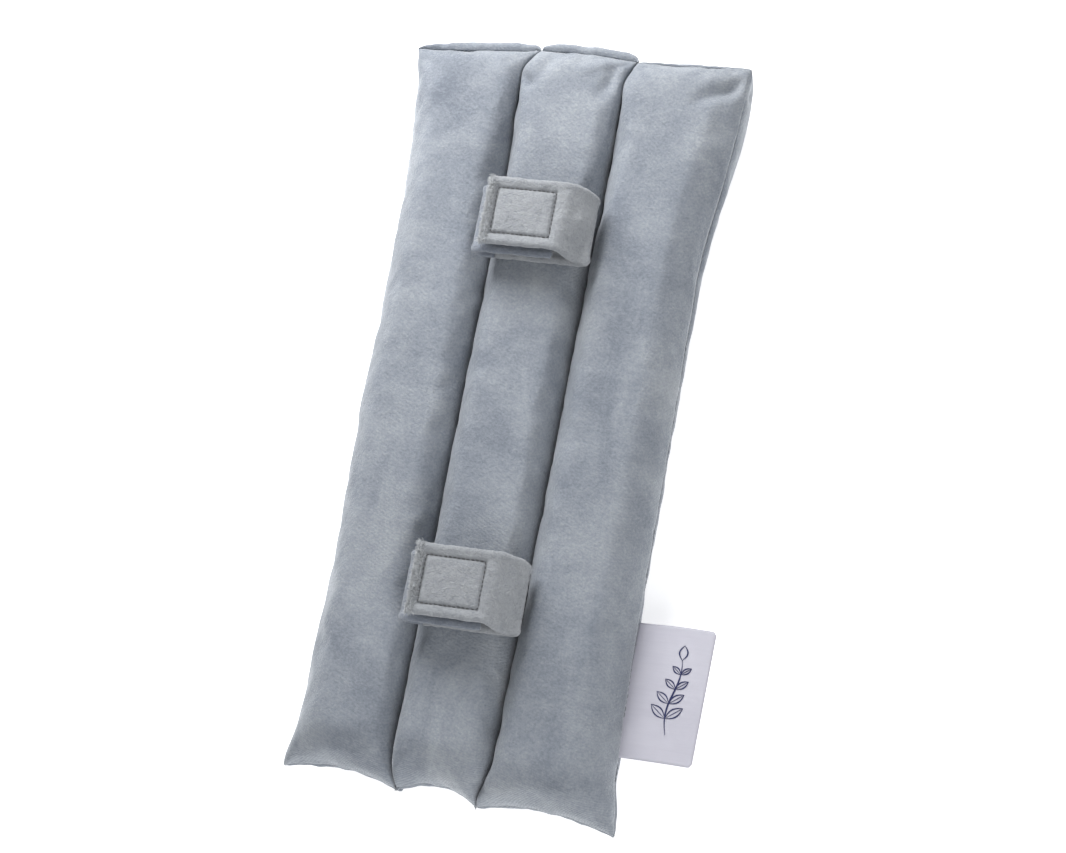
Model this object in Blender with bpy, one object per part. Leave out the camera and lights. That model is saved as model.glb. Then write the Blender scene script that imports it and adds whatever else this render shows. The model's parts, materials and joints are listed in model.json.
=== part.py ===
"""Eye pillow of three stuffed channels, with two hook-and-loop straps and a side label.

Metres, +Z up. The pillow lies on its rear face with the straps on top. X runs across the
three channels, Y runs along them, and the origin is on the rear face, below the middle.
Every fabric piece, thread and filling is an object of its own. Pieces that turn together
hang on one empty, which stands on the axis that they turn about.
"""

import math

import bmesh
import bpy
from mathutils import Vector

# Driving dimensions of the pillow
LENGTH = 0.324
WIDTH = 0.142
THICKNESS = 0.040
SEAMS = {"left": -0.024, "right": 0.0185}  # where the two channel seams run
WAIST = 0.0045  # how far each long side draws in halfway along
END_ROUND = 0.020  # how long each end takes to fall from full height to its seam
PLUSH = 0.0012  # thickness of the panel fabric
REAR_FULL = 1.015  # depth of the rear before it is pressed flat, per half width

# Driving dimensions of the straps
STRAP_WIDTH = 0.032
STRAP_Y = {"upper": 0.077, "lower": -0.0805}
LOOP_LEFT = -0.0265
LOOP_RIGHT = 0.0225
STRAP = 0.002  # thickness of the strap fabric
BELT_GAP = 0.0077  # height that the empty loop leaves for a belt
TAPE = (0.0256, 0.0234)  # each hook or loop patch, across and along the pillow
TAPE_LEFT = -0.019
TAPE_THICK = 0.001
OUTER_FLAP = 0.044
INNER_FLAP = 0.0345
FOLD_ROUND = 0.003

# Driving dimensions of the label
LABEL = (0.027, 0.054)
LABEL_Y = -0.1045
LABEL_THICK = 0.0008
LABEL_ROUND = 0.005

# Clearances and threads
GAP = 0.0003  # between solids that touch on the real object
SLIT = 0.0006  # half the slit between the rims of a front and a rear panel
WEB = 0.001  # from a channel seam to the rims on either side of it
THREAD = 0.0003  # radius of every thread

# Heights worked out from the above
SEAM_Z = THICKNESS / 2
BASE_BOTTOM = THICKNESS + GAP
BASE_TOP = BASE_BOTTOM + STRAP
INNER_BOTTOM = BASE_TOP + BELT_GAP
INNER_TOP = INNER_BOTTOM + STRAP
LOOP_PATCH_BOTTOM = INNER_TOP + GAP
HOOK_PATCH_BOTTOM = LOOP_PATCH_BOTTOM + TAPE_THICK + GAP
OUTER_BOTTOM = HOOK_PATCH_BOTTOM + TAPE_THICK + GAP
OUTER_TOP = OUTER_BOTTOM + STRAP

# How finely the panels are divided
ACROSS = 10
END_ROWS = 4
MIDDLE_ROWS = 4

# Colour and roughness of each material
FINISHES = {
    "plush": ((0.42, 0.45, 0.49), 0.95),
    "strap_plush": ((0.47, 0.48, 0.51), 0.95),
    "filling": ((0.86, 0.85, 0.82), 1.0),
    "thread": ((0.16, 0.14, 0.13), 0.8),
    "pale_thread": ((0.55, 0.56, 0.58), 0.8),
    "hook_tape": ((0.50, 0.51, 0.53), 0.6),
    "loop_tape": ((0.56, 0.57, 0.59), 0.9),
    "satin": ((0.60, 0.59, 0.68), 0.35),
}


def clear_scene():
    for thing in list(bpy.data.objects):
        bpy.data.objects.remove(thing, do_unlink=True)


def material(name):
    """The named finish as a Principled material, made once."""
    if name in bpy.data.materials:
        return bpy.data.materials[name]
    colour, roughness = FINISHES[name]
    made = bpy.data.materials.new(name)
    made.use_nodes = True
    shader = made.node_tree.nodes["Principled BSDF"]
    shader.inputs["Base Color"].default_value = (*colour, 1.0)
    shader.inputs["Roughness"].default_value = roughness
    shader.inputs["Metallic"].default_value = 0.0
    return made


def axis_empty(name, place, parent=None):
    """An empty on a joint's axis. Its place is in the pillow's frame."""
    empty = bpy.data.objects.new(name, None)
    bpy.context.collection.objects.link(empty)
    empty.location = Vector(place)
    if parent:
        empty.parent = parent
        empty.location -= parent_place(parent)
    return empty


def parent_place(thing):
    """Where an empty stands in the pillow's frame."""
    place = Vector((0.0, 0.0, 0.0))
    while thing:
        place += thing.location
        thing = thing.parent
    return place


def add_object(name, data, finish, holder=None):
    """An object whose data is in the pillow's frame, hung on its holder."""
    thing = bpy.data.objects.new(name, data)
    bpy.context.collection.objects.link(thing)
    data.materials.append(material(finish))
    if holder:
        thing.parent = holder
        thing.location = -parent_place(holder)
    return thing


def add_mesh(name, shape, finish, holder, smooth=False):
    """An object from a bmesh, with its faces turned outwards."""
    bmesh.ops.recalc_face_normals(shape, faces=shape.faces)
    if shape.calc_volume(signed=True) < 0:
        bmesh.ops.reverse_faces(shape, faces=shape.faces)
    mesh = bpy.data.meshes.new(name)
    shape.to_mesh(mesh)
    shape.free()
    if smooth:
        mesh.shade_smooth()
        mesh.set_sharp_from_angle(angle=math.radians(40))
    return add_object(name, mesh, finish, holder)


def side_x(y):
    """How far the side seam is from the middle, at this place along the pillow."""
    return WIDTH / 2 - WAIST * (1 - (2 * y / LENGTH) ** 2)


def channel_sides(channel, y):
    """The left and right edges of a channel at this place along it."""
    if channel == "left":
        return -side_x(y), SEAMS["left"] - WEB
    if channel == "right":
        return SEAMS["right"] + WEB, side_x(y)
    return SEAMS["left"] + WEB, SEAMS["right"] - WEB


def rows(inset):
    """Places along the pillow, each with its share of the full height, end to end."""
    straight = LENGTH / 2 - END_ROUND
    turn = math.pi / 2 / END_ROWS
    end = [
        (straight + (END_ROUND - inset) * math.sin(i * turn), math.cos(i * turn))
        for i in range(1, END_ROWS + 1)
    ]
    end[-1] = (LENGTH / 2 - inset, 0.0)
    middle = [
        (straight * (2 * i / MIDDLE_ROWS - 1), 1.0) for i in range(MIDDLE_ROWS + 1)
    ]
    return [(-y, share) for y, share in reversed(end)] + middle + end


def arc(x, half, rise):
    """Height at x of an arc through (-half, 0), (0, rise) and (half, 0)."""
    radius = (half**2 + rise**2) / (2 * rise)
    return math.sqrt(max(radius**2 - x**2, 0.0)) - (radius - rise)


def skin_points(channel, side, inset, height):
    """Rows of (x, y, height above the rim), inset from the channel's outer skin.

    The front is an arc across the channel. The rear is a hair more than a half
    circle, pressed flat at its height, where the pillow lies on it.
    """
    grid = []
    for y, share in rows(inset):
        left, right = channel_sides(channel, y)
        middle, half = (left + right) / 2, (right - left) / 2 - inset
        rise, full = (height, 1.0) if side == "front" else (half, REAR_FULL)
        row = []
        for i in range(ACROSS + 1):
            x = half * math.sin(math.pi * (i / ACROSS - 0.5))
            row.append((middle + x, y, min(height, arc(x, half, rise) * share * full)))
        row[0] = (middle - half, y, 0.0)
        row[-1] = (middle + half, y, 0.0)
        grid.append(row)
    return grid


def border(grid):
    """The outline of a grid of vertices, in order."""
    last_column = [row[-1] for row in grid[1:]]
    first_column = [row[0] for row in reversed(grid[1:-1])]
    return grid[0] + last_column + list(reversed(grid[-1]))[1:] + first_column


def add_grid(shape, points, rim_z, direction):
    """Vertices and faces of one skin, rising from its rim up (1) or down (-1)."""
    grid = [
        [shape.verts.new((x, y, rim_z + direction * height)) for x, y, height in row]
        for row in points
    ]
    for low, high in zip(grid, grid[1:]):
        for i in range(len(low) - 1):
            shape.faces.new((low[i], low[i + 1], high[i + 1], high[i]))
    return grid


def panel(channel, side, holder):
    """The front or rear fabric of a channel: an open shell that ends at its rim."""
    direction = 1 if side == "front" else -1
    rim_z = SEAM_Z + direction * SLIT
    height = SEAM_Z - SLIT
    skin = skin_points(channel, side, 0.0, height)
    lining = skin_points(channel, side, PLUSH, height - PLUSH)
    shape = bmesh.new()
    outer = border(add_grid(shape, skin, rim_z, direction))
    inner = border(add_grid(shape, lining, rim_z, direction))
    for i in range(len(outer)):
        after = (i + 1) % len(outer)
        shape.faces.new((outer[i], outer[after], inner[after], inner[i]))
    return add_mesh(f"{channel}_{side}_panel", shape, "plush", holder, smooth=True)


def filling(channel, holder):
    """The stuffing of a channel, one closed body just inside its two panels."""
    inset = PLUSH + GAP
    height = SEAM_Z - inset
    shape = bmesh.new()
    upper = add_grid(shape, skin_points(channel, "front", inset, height), SEAM_Z, 1)
    lower = add_grid(shape, skin_points(channel, "rear", inset, height), SEAM_Z, -1)
    for above, below in zip(border(upper), border(lower)):
        bmesh.ops.pointmerge(shape, verts=[above, below], merge_co=above.co)
    return add_mesh(f"{channel}_fill", shape, "filling", holder, smooth=True)


def thread(name, points, finish, holder, closed=False):
    """A thread along these points, as a round tube with filled ends."""
    curve = bpy.data.curves.new(name, "CURVE")
    curve.dimensions = "3D"
    curve.bevel_depth = THREAD
    curve.bevel_resolution = 1
    curve.use_fill_caps = True
    line = curve.splines.new("POLY")
    line.points.add(len(points) - 1)
    for point, place in zip(line.points, points):
        point.co = (*place, 1.0)
    line.use_cyclic_u = closed
    return add_object(name, curve, finish, holder)


def side_thread(channel, holder):
    """The perimeter seam round a side channel: both ends and the long outer side."""
    sign = -1 if channel == "left" else 1
    end_y = LENGTH / 2 - SLIT
    inner_x = abs(SEAMS[channel]) + WEB + SLIT
    steps = 8
    side = [end_y * (1 - 2 * i / steps) for i in range(steps + 1)]
    points = [(sign * inner_x, end_y, SEAM_Z)]
    points += [(sign * (side_x(y) - SLIT), y, SEAM_Z) for y in side]
    points += [(sign * inner_x, -end_y, SEAM_Z)]
    thread(f"{channel}_perimeter_stitching", points, "pale_thread", holder)


def rounded_rectangle(low, high, radii):
    """An outline from corner low to corner high, with four corner radii, from the lowest
    corner anticlockwise."""
    corners = (low, (high[0], low[1]), high, (low[0], high[1]))
    inward = ((1, 1), (-1, 1), (-1, -1), (1, -1))
    steps = 4
    outline = []
    for quarter, (corner, way, radius) in enumerate(zip(corners, inward, radii)):
        if not radius:
            outline.append(corner)
            continue
        middle = (corner[0] + way[0] * radius, corner[1] + way[1] * radius)
        for i in range(steps + 1):
            turn = math.pi * (1 + quarter / 2) + math.pi / 2 * i / steps
            outline.append(
                (
                    middle[0] + radius * math.cos(turn),
                    middle[1] + radius * math.sin(turn),
                )
            )
    return outline


def plate(name, outline, bottom, thick, finish, holder):
    """A flat piece: an outline in the XY plane, raised from bottom by thick."""
    shape = bmesh.new()
    face = shape.faces.new([shape.verts.new((x, y, bottom)) for x, y in outline])
    raised = bmesh.ops.extrude_face_region(shape, geom=[face])["geom"]
    moved = [v for v in raised if isinstance(v, bmesh.types.BMVert)]
    bmesh.ops.translate(shape, verts=moved, vec=(0.0, 0.0, thick))
    return add_mesh(name, shape, finish, holder)


def box_thread(name, middle, z, holder):
    """The box of stitches that holds a hook or loop patch."""
    half_x, half_y = TAPE[0] / 2 - 0.001, TAPE[1] / 2 - 0.001
    low = (middle[0] - half_x, middle[1] - half_y)
    high = (middle[0] + half_x, middle[1] + half_y)
    outline = rounded_rectangle(low, high, (0.001,) * 4)
    points = [(x, y, z) for x, y in outline]
    thread(name, points, "thread", holder, closed=True)


def loop_section():
    """The strap where it is sewn down, seen along Y: a flat base and its two folds.

    The left fold carries the inner flap and the right fold the outer one.
    """
    outer, inner = FOLD_ROUND, FOLD_ROUND - STRAP
    steps = 4
    turns = [math.pi / 2 * i / steps for i in range(steps + 1)]
    left, right = LOOP_LEFT + outer, LOOP_RIGHT - outer
    centre_z = BASE_BOTTOM + outer
    low = [
        (left - outer * math.cos(t), centre_z - outer * math.sin(t)) for t in turns
    ]
    low += [
        (right + outer * math.sin(t), centre_z - outer * math.cos(t)) for t in turns
    ]
    high = [
        (right + inner * math.cos(t), centre_z - inner * math.sin(t)) for t in turns
    ]
    high += [
        (left - inner * math.sin(t), centre_z - inner * math.cos(t)) for t in turns
    ]
    right_top, left_top = OUTER_BOTTOM - GAP, INNER_BOTTOM - GAP
    outline = [(LOOP_LEFT, left_top)] + low + [(LOOP_RIGHT, right_top)]
    outline += [(LOOP_RIGHT - STRAP, right_top)] + high
    outline += [(LOOP_LEFT + STRAP, left_top)]
    return outline


def strap_base(name, y):
    """The sewn-down part of a strap, which the belt passes over."""
    shape = bmesh.new()
    near = y - STRAP_WIDTH / 2
    face = shape.faces.new([shape.verts.new((x, near, z)) for x, z in loop_section()])
    raised = bmesh.ops.extrude_face_region(shape, geom=[face])["geom"]
    moved = [v for v in raised if isinstance(v, bmesh.types.BMVert)]
    bmesh.ops.translate(shape, verts=moved, vec=(0.0, STRAP_WIDTH, 0.0))
    return add_mesh(name, shape, "strap_plush", None)


def patch(name, y, bottom, finish, holder):
    """A hook or loop patch, a rectangle of tape."""
    low = (TAPE_LEFT, y - TAPE[1] / 2)
    high = (TAPE_LEFT + TAPE[0], y + TAPE[1] / 2)
    plate(name, [low, (high[0], low[1]), high, (low[0], high[1])], bottom,
          TAPE_THICK, finish, holder)


def strap(where, y):
    """One strap: its base, and the two flaps that close over the belt."""
    strap_base(f"{where}_strap_base", y)
    middle = (TAPE_LEFT + TAPE[0] / 2, y)
    box_thread(f"{where}_base_stitching", middle, BASE_TOP + GAP + THREAD, None)
    near, far = y - STRAP_WIDTH / 2, y + STRAP_WIDTH / 2
    free_round = 0.003

    inner_axis = axis_empty(
        f"{where}_inner_axis", (LOOP_LEFT, y, INNER_BOTTOM - GAP / 2)
    )
    outline = rounded_rectangle(
        (LOOP_LEFT, near), (LOOP_LEFT + INNER_FLAP, far), (0, free_round, free_round, 0)
    )
    plate(f"{where}_inner_flap", outline, INNER_BOTTOM, STRAP, "strap_plush", inner_axis)
    patch(f"{where}_loop_patch", y, LOOP_PATCH_BOTTOM, "loop_tape", inner_axis)
    box_thread(
        f"{where}_loop_stitching", middle, INNER_BOTTOM - GAP - THREAD, inner_axis
    )

    outer_axis = axis_empty(
        f"{where}_outer_axis", (LOOP_RIGHT, y, OUTER_BOTTOM - GAP / 2)
    )
    outline = rounded_rectangle(
        (LOOP_RIGHT - OUTER_FLAP, near), (LOOP_RIGHT, far), (free_round, 0, 0, free_round)
    )
    plate(f"{where}_outer_flap", outline, OUTER_BOTTOM, STRAP, "strap_plush", outer_axis)
    patch(f"{where}_hook_patch", y, HOOK_PATCH_BOTTOM, "hook_tape", outer_axis)
    box_thread(f"{where}_hook_stitching", middle, OUTER_TOP + GAP + THREAD, outer_axis)


def label(right_channel):
    """The woven label, sewn into the right side seam by its inner edge."""
    root_x = side_x(LABEL_Y - LABEL[1] / 2) + GAP
    axis = axis_empty("label_axis", (root_x, LABEL_Y, SEAM_Z), right_channel)
    low = (root_x, LABEL_Y - LABEL[1] / 2)
    high = (root_x + LABEL[0], LABEL_Y + LABEL[1] / 2)
    outline = rounded_rectangle(low, high, (0, LABEL_ROUND, LABEL_ROUND, 0))
    plate("label", outline, SEAM_Z - LABEL_THICK / 2, LABEL_THICK, "satin", axis)


def centre_threads():
    """The perimeter seam across both ends of the centre channel."""
    low, high = SEAMS["left"] + WEB + SLIT, SEAMS["right"] - WEB - SLIT
    for where, end_y in (("top", LENGTH / 2 - SLIT), ("bottom", SLIT - LENGTH / 2)):
        points = [(low, end_y, SEAM_Z), (high, end_y, SEAM_Z)]
        thread(f"centre_{where}_stitching", points, "pale_thread", None)


def channel_threads():
    """The two long seams that part the channels, where the side channels fold."""
    half = LENGTH / 2 - 0.002
    for where, x in SEAMS.items():
        points = [(x, -half, SEAM_Z), (x, half, SEAM_Z)]
        thread(f"{where}_channel_stitching", points, "pale_thread", None)


def build():
    clear_scene()
    holders = {
        "centre": None,
        "left": axis_empty("left_fold_axis", (SEAMS["left"], 0.0, SEAM_Z)),
        "right": axis_empty("right_fold_axis", (SEAMS["right"], 0.0, SEAM_Z)),
    }
    for channel, holder in holders.items():
        for side in ("front", "rear"):
            panel(channel, side, holder)
        filling(channel, holder)
    side_thread("left", holders["left"])
    side_thread("right", holders["right"])
    centre_threads()
    channel_threads()
    for where, y in STRAP_Y.items():
        strap(where, y)
    label(holders["right"])


build()
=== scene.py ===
"""The plush pillow with two strap loops and a side label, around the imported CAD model.

Metres, in the frame of the CAD model: +X across the channels towards the label, +Y along
them, +Z out of the front. All random-looking detail comes from fixed noise or a seed.
"""

import json
import math
import random

import bmesh
import bpy
import numpy as np
from mathutils import Matrix, Vector, kdtree, noise


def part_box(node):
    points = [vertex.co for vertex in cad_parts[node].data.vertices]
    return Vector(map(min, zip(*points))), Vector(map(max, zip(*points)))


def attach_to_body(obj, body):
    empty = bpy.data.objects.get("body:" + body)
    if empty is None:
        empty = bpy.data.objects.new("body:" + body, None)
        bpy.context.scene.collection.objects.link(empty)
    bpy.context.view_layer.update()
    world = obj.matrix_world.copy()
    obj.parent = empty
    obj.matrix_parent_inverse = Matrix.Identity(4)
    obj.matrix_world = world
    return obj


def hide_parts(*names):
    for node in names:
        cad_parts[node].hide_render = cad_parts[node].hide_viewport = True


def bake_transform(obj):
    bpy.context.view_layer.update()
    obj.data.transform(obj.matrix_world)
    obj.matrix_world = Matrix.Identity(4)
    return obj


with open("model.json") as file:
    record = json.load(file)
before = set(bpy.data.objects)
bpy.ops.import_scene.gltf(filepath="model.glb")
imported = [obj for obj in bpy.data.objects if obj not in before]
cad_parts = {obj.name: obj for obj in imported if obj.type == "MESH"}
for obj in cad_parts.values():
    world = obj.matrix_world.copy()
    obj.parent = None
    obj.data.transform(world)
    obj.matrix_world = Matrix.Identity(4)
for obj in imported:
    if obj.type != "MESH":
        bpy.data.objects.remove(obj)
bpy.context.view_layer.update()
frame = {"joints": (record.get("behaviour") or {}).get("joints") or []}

MM = 0.001
JOINTS = {j["name"]: j for j in frame["joints"]}

# ---------------------------------------------------------------- places from the CAD
front_low, front_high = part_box("centre_front_panel")
HALF_LENGTH = front_high.y
TOP = front_high.z
SEAM_Z = (front_low.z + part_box("centre_rear_panel")[1].z) / 2
LEFT_HINGE = JOINTS["left_channel_fold"]["pos_m"][0]
RIGHT_HINGE = JOINTS["right_channel_fold"]["pos_m"][0]
SIDE_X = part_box("right_front_panel")[1].x

# ---------------------------------------------------------------- camera
TILT_X, TILT_Y, LEAN = math.radians(14.5), math.radians(-16), math.radians(10.7)
DISTANCE = 1.25
SENSOR_MM = 36
IMAGE_WIDTH = 1066
MM_PER_PIXEL = 0.4125
FRAME_WIDTH = IMAGE_WIDTH * MM_PER_PIXEL * MM
AIM = Vector((0.8 * MM, -7.5 * MM, SEAM_Z))
AIM_SHIFT = (5.8 * MM, 4.7 * MM)


def add_camera():
    """A long lens over the pillow, tilted towards the label and the near end."""
    back = Vector((math.tan(TILT_X), math.tan(TILT_Y), 1)).normalized()
    along = (Vector((0, 1, 0)) - back * back.y).normalized()
    across = along.cross(back)
    up = along * math.cos(LEAN) - across * math.sin(LEAN)
    right = across * math.cos(LEAN) + along * math.sin(LEAN)
    place = AIM + right * AIM_SHIFT[0] + up * AIM_SHIFT[1] + back * DISTANCE
    data = bpy.data.cameras.new("camera")
    data.sensor_width = SENSOR_MM
    data.lens = SENSOR_MM * DISTANCE / FRAME_WIDTH
    camera = bpy.data.objects.new("camera", data)
    bpy.context.scene.collection.objects.link(camera)
    turn = Matrix((right, up, back)).transposed()
    camera.matrix_world = Matrix.Translation(place) @ turn.to_4x4()
    bpy.context.scene.camera = camera


add_camera()


# ---------------------------------------------------------------- materials
ONE_WAVE = 0.1 * math.pi  # the scale at which a wave texture along X or Y repeats every unit


class Finish:
    """A Principled material with procedural textures in the object's own metres."""

    def __init__(self, name, **sockets):
        self.material = bpy.data.materials.new(name)
        self.material.use_nodes = True
        self.tree = self.material.node_tree
        self.shader = self.tree.nodes["Principled BSDF"]
        for key, value in sockets.items():
            self.shader.inputs[key.replace("_", " ")].default_value = value
        self.place = self.tree.nodes.new("ShaderNodeTexCoord").outputs["Object"]

    def link(self, a, b):
        self.tree.links.new(a, b)

    def node(self, kind, **values):
        """A new node, with these values on its inputs."""
        node = self.tree.nodes.new("ShaderNode" + kind)
        for key, value in values.items():
            node.inputs[key.replace("_", " ")].default_value = value
        return node

    def scaled(self, stretch, turn=0.0):
        """The object's coordinates, scaled and then turned about Z."""
        node = self.node("Mapping", Scale=stretch, Rotation=(0, 0, turn))
        self.link(self.place, node.inputs["Vector"])
        return node.outputs["Vector"]

    def noise(self, size, detail=2.0, rough=0.5, warp=0.0, stretch=(1, 1, 1)):
        """Noise whose features are about this many metres across."""
        node = self.node("TexNoise", Scale=1.0, Detail=detail, Roughness=rough, Distortion=warp)
        self.link(self.scaled([s / size for s in stretch]), node.inputs["Vector"])
        return node.outputs["Fac"]

    def rows(self, pitch, axis, warp, turn=0.0):
        """Fine parallel ribs: two to each pitch along X or Y, one on the diagonal."""
        node = self.node("TexWave", Scale=ONE_WAVE, Distortion=warp, Detail=2.0,
                         Detail_Scale=0.6)
        node.bands_direction = axis
        self.link(self.scaled([2 / pitch] * 3, turn), node.inputs["Vector"])
        return node.outputs["Fac"]

    def maths(self, kind, a, b):
        """A Math node; a and b are numbers or sockets."""
        node = self.node("Math")
        node.operation = kind
        for socket, value in zip(node.inputs, (a, b)):
            if isinstance(value, (int, float)):
                socket.default_value = value
            else:
                self.link(value, socket)
        return node.outputs[0]

    def total(self, parts, middle=0.5):
        """middle plus the weighted swing of each texture about its own half."""
        value = None
        for texture, weight in parts:
            swing = self.maths("MULTIPLY", self.maths("SUBTRACT", texture, 0.5), weight)
            value = self.maths("ADD", middle if value is None else value, swing)
        return value

    def ramp(self, value, stops):
        """Base colour from a texture, through these (place, colour) stops."""
        node = self.node("ValToRGB")
        elements = node.color_ramp.elements
        while len(elements) < len(stops):
            elements.new(0.5)
        for element, (at, colour) in zip(elements, stops):
            element.position = at
            element.color = (*colour, 1)
        self.link(value, node.inputs["Fac"])
        self.link(node.outputs["Color"], self.shader.inputs["Base Color"])

    def bump(self, heights):
        """Stacked bumps: (texture, depth in metres, strength)."""
        normal = None
        for texture, depth, strength in heights:
            node = self.node("Bump", Distance=depth, Strength=strength)
            self.link(texture, node.inputs["Height"])
            if normal is not None:
                self.link(normal, node.inputs["Normal"])
            normal = node.outputs["Normal"]
        self.link(normal, self.shader.inputs["Normal"])


def make_plush():
    """The pillow's short pile: soft patches and strokes over a fine, faintly ribbed grain."""
    f = Finish("plush_pile", Roughness=0.95, Sheen_Weight=0.95, Sheen_Roughness=0.34,
               Sheen_Tint=(0.90, 0.93, 0.97, 1), Specular_IOR_Level=0.10)
    patches = f.noise(0.034, 3, 0.55, 0.8, (1.2, 0.8, 1))
    strokes = f.noise(0.011, 3, 0.6, 0.5, (0.6, 1.3, 1))
    grain = f.noise(0.0010, 3, 0.7)
    tufts = f.noise(0.0022, 2, 0.6, 0.4, (1.0, 1.5, 1))
    rows = f.rows(0.00110, "Y", 1.8, math.radians(-22))
    shown = f.noise(0.03, 2, 0.5)
    ribs = f.maths("MULTIPLY", rows, shown)
    tone = f.total([(patches, 0.95), (strokes, 0.42), (grain, 0.80), (tufts, 0.30),
                    (ribs, 0.30)])
    f.ramp(tone, [(0.10, (0.175, 0.195, 0.230)), (0.40, (0.255, 0.278, 0.315)),
                  (0.60, (0.312, 0.335, 0.368)), (0.95, (0.440, 0.458, 0.482))])
    f.bump([(patches, 0.0012, 0.25), (tufts, 0.0006, 0.40), (ribs, 0.0004, 0.45),
            (grain, 0.0004, 0.70)])
    return f.material


def make_strap_plush(name, shade):
    """The straps' shaggier pile, with its colour scaled by shade; its darker and brighter copies
    are painted shade and a painted highlight.
    """
    f = Finish(name, Roughness=0.95, Sheen_Weight=0.5, Sheen_Roughness=0.5,
               Sheen_Tint=(0.90, 0.92, 0.94, 1), Specular_IOR_Level=0.12)
    patches = f.noise(0.010, 3, 0.6, 0.8)
    tufts = f.noise(0.0017, 3, 0.65, 1.4, (1.0, 1.5, 1))
    grain = f.noise(0.0006, 3, 0.7)
    tone = f.total([(patches, 0.50), (tufts, 0.85), (grain, 0.55)])
    colours = ((0.190, 0.204, 0.228), (0.278, 0.293, 0.316), (0.340, 0.354, 0.374),
               (0.470, 0.480, 0.494))
    stops = [(at, tuple(k * v for k, v in zip(shade, colour)))
             for at, colour in zip((0.10, 0.40, 0.62, 0.95), colours)]
    f.ramp(tone, stops)
    f.bump([(patches, 0.0010, 0.25), (tufts, 0.0010, 0.75), (grain, 0.0004, 0.7)])
    return f.material


def make_thread(name, low, high):
    f = Finish(name, Roughness=0.7, Sheen_Weight=0.2, Specular_IOR_Level=0.25)
    twist = f.rows(0.0005, "DIAGONAL", 0.4)
    shade = f.noise(0.004, 2)
    f.ramp(f.total([(twist, 0.6), (shade, 0.5)]), [(0.2, low), (0.8, high)])
    f.bump([(twist, 0.0001, 0.6)])
    return f.material


def make_satin():
    f = Finish("label_satin", Roughness=0.42, Sheen_Weight=0.15,
               Specular_IOR_Level=0.45, Anisotropic=0.4)
    weft = f.rows(0.00042, "Y", 0.3)
    warp = f.rows(0.00036, "X", 0.3)
    cloud = f.noise(0.02, 2, 0.5, 0.4)
    slub = f.noise(0.0016, 2, 0.6, 0.0, (0.15, 1.6, 1))
    f.ramp(f.total([(weft, 0.16), (warp, 0.10), (cloud, 0.35), (slub, 0.22)]),
           [(0.2, (0.500, 0.492, 0.570)), (0.8, (0.650, 0.642, 0.712))])
    f.bump([(slub, 0.0002, 0.25), (weft, 0.0001, 0.3), (warp, 0.0001, 0.2)])
    return f.material


def make_ink():
    f = Finish("navy_print", Roughness=0.5, Specular_IOR_Level=0.35)
    f.ramp(f.total([(f.noise(0.0006, 2), 0.6), (f.noise(0.004, 2), 0.4)]),
           [(0.25, (0.012, 0.016, 0.070)), (0.8, (0.035, 0.042, 0.140))])
    f.bump([(f.rows(0.00042, "Y", 0.3), 0.0001, 0.3)])
    return f.material


def make_tape(name, low, high, rough):
    f = Finish(name, Roughness=rough, Sheen_Weight=0.1, Specular_IOR_Level=0.35)
    a, b = f.rows(0.0009, "X", 0.4), f.rows(0.0007, "Y", 0.4)
    f.ramp(f.total([(a, 0.3), (b, 0.3), (f.noise(0.002, 3), 0.5)]), [(0.2, low), (0.8, high)])
    f.bump([(a, 0.0003, 0.5), (b, 0.0003, 0.5)])
    return f.material


def make_fibre():
    f = Finish("stuffing_fibre", Roughness=1.0, Sheen_Weight=0.5)
    wisps = f.noise(0.003, 5, 0.7, 2.5, (2.0, 0.6, 1))
    f.ramp(f.total([(wisps, 1.0), (f.noise(0.02, 2), 0.3)]),
           [(0.2, (0.70, 0.69, 0.66)), (0.8, (0.92, 0.91, 0.88))])
    f.bump([(wisps, 0.0015, 0.8)])
    return f.material


PLUSH, FIBRE = make_plush(), make_fibre()
STRAP_PLUSH = make_strap_plush("strap_pile", (1.0, 1.0, 1.0))
# The strap pile made darker and bluer: painted shade on the inner strip, which lies under the
# outer flap.
STRAP_PILE_PAINTED_SHADE = make_strap_plush("strap_pile_painted_shade", (0.66, 0.70, 0.78))
# The strap pile at twice its brightness: a painted highlight on the fibres of the cut edge.
CUT_PILE_PAINTED_HIGHLIGHT = make_strap_plush("cut_pile_painted_highlight", (2.0, 1.97, 1.90))
DARK_THREAD = make_thread("dark_thread", (0.045, 0.045, 0.047), (0.150, 0.150, 0.155))
PALE_THREAD = make_thread("pale_thread_twist", (0.15, 0.165, 0.19), (0.36, 0.38, 0.41))
SATIN, INK = make_satin(), make_ink()
HOOK_TAPE = make_tape("hook_tape_weave", (0.33, 0.34, 0.36), (0.50, 0.51, 0.53), 0.55)
LOOP_TAPE = make_tape("loop_tape_weave", (0.40, 0.41, 0.43), (0.62, 0.63, 0.65), 0.85)


# ---------------------------------------------------------------- small tools
def ease(a, b, v):
    """0 at a and before it, 1 at b and past it, with a smooth step between."""
    t = np.clip((np.asarray(v, float) - a) / (b - a), 0, 1)
    return t * t * (3 - 2 * t)


def evenly(points, count):
    """The polyline resampled to count equal steps."""
    points = np.asarray(points, float)
    step = np.linalg.norm(np.diff(points, axis=0), axis=1)
    at = np.concatenate([[0], np.cumsum(step)])
    want = np.linspace(0, at[-1], count + 1)
    return np.column_stack([np.interp(want, at, column) for column in points.T])


def chaikin(points, times):
    """The open polyline with its corners cut this many times."""
    points = np.asarray(points, float)
    for _ in range(times):
        a, b = points[:-1], points[1:]
        cut = np.empty((2 * len(a), points.shape[1]))
        cut[0::2], cut[1::2] = 0.75 * a + 0.25 * b, 0.25 * a + 0.75 * b
        points = np.concatenate([points[:1], cut, points[-1:]])
    return points


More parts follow.
